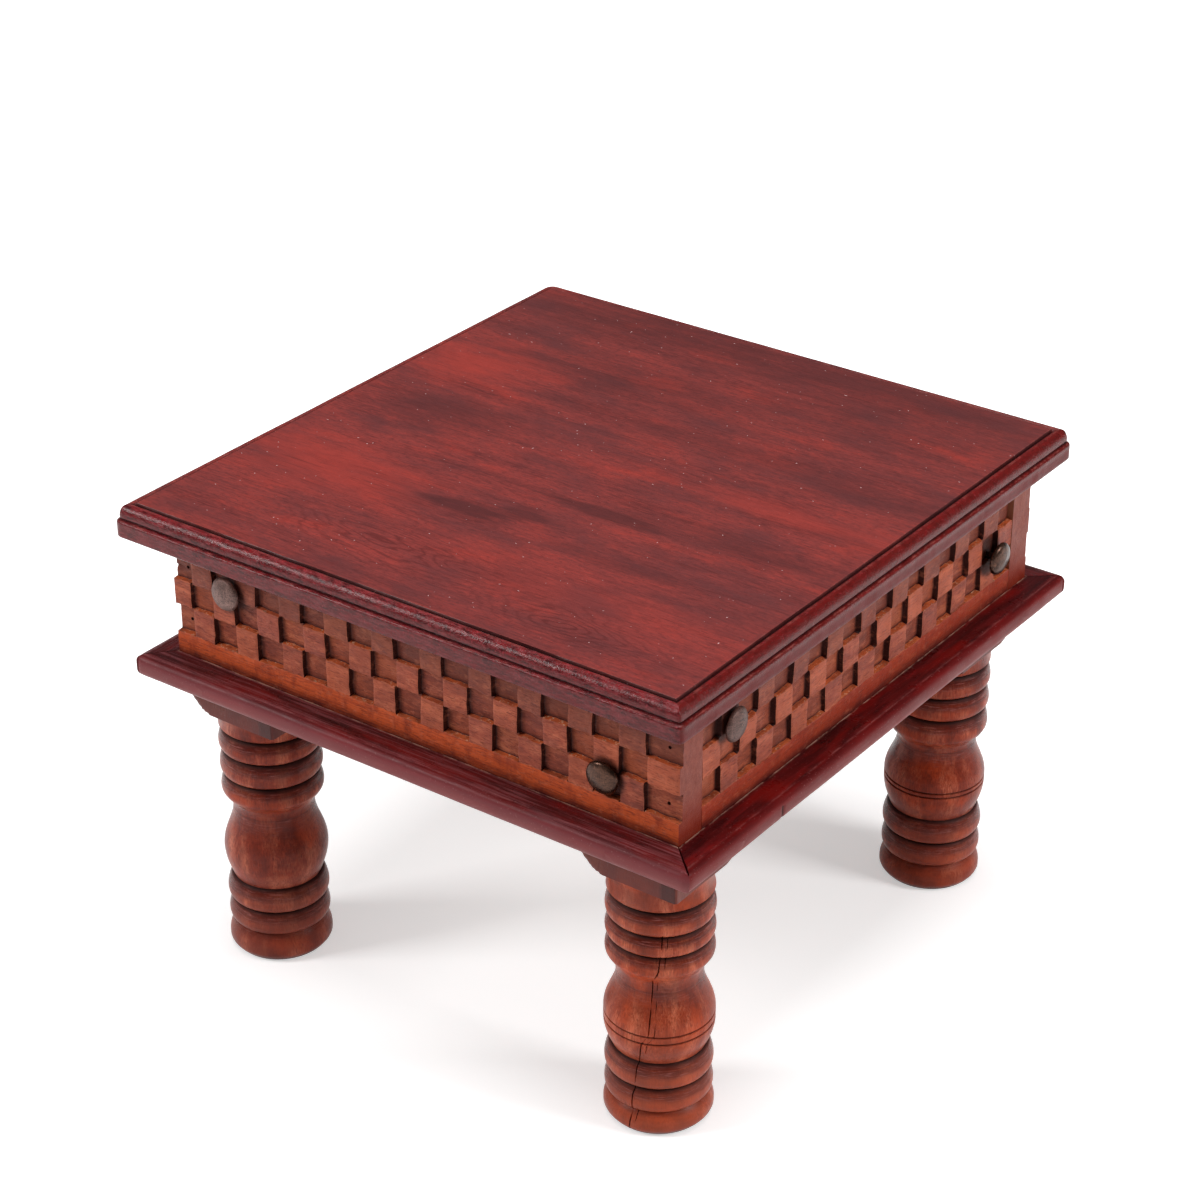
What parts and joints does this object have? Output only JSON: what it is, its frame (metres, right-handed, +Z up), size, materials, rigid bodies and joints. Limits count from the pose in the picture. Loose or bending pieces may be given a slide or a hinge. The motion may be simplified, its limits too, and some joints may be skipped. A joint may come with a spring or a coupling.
{
  "type": "bajot low table",
  "caption": "Low wooden table: routed top on a frame of checker-carved aprons with a nosed base moulding, turned legs let into the corners, dome head nails.",
  "frame": {"origin": "on the floor, under the middle of the whole table", "axes": "+Z up, +X to the right as seen from the front, +Y from the front to the back, along the longer side"},
  "size_m": [0.2992, 0.315, 0.231],
  "materials": {
    "top": "deep red stain under worn varnish",
    "apron": "red-brown stain, hand carved, thin varnish",
    "moulding": "dark red stain, satin varnish",
    "leg": "red-brown stain, satin varnish, darker in the grooves",
    "cleat": "bare sawn wood",
    "dome_nail": "dark antique, scratched",
    "steel": "plain wire, dulled"
  },
  "bodies": {
    "root": {"top_board": "top", "apron_front": "apron", "apron_back": "apron", "apron_left": "apron", "apron_right": "apron", "base_moulding_front": "moulding", "base_moulding_back": "moulding", "base_moulding_left": "moulding", "base_moulding_right": "moulding", "leg_front_left": "leg", "leg_front_right": "leg", "leg_back_left": "leg", "leg_back_right": "leg", "top_cleat_left": "cleat", "top_cleat_right": "cleat", "dome_nail_front_1": "dome_nail", "dome_nail_front_2": "dome_nail", "dome_nail_right_1": "dome_nail", "dome_nail_right_2": "dome_nail", "dome_nail_back_1": "dome_nail", "dome_nail_back_2": "dome_nail", "dome_nail_left_1": "dome_nail", "dome_nail_left_2": "dome_nail", "apron_brad_front_left_1": "steel", "apron_brad_front_left_2": "steel", "apron_brad_front_right_1": "steel", "apron_brad_front_right_2": "steel", "apron_brad_back_left_1": "steel", "apron_brad_back_left_2": "steel", "apron_brad_back_right_1": "steel", "apron_brad_back_right_2": "steel", "moulding_brad_front_1": "steel", "moulding_brad_front_2": "steel", "moulding_brad_right_1": "steel", "moulding_brad_right_2": "steel", "moulding_brad_back_1": "steel", "moulding_brad_back_2": "steel", "moulding_brad_left_1": "steel", "moulding_brad_left_2": "steel", "cleat_screw_left_1": "steel", "cleat_screw_left_2": "steel", "cleat_screw_right_1": "steel", "cleat_screw_right_2": "steel", "top_screw_left_1": "steel", "top_screw_left_2": "steel", "top_screw_right_1": "steel", "top_screw_right_2": "steel"}
  },
  "joints": []
}
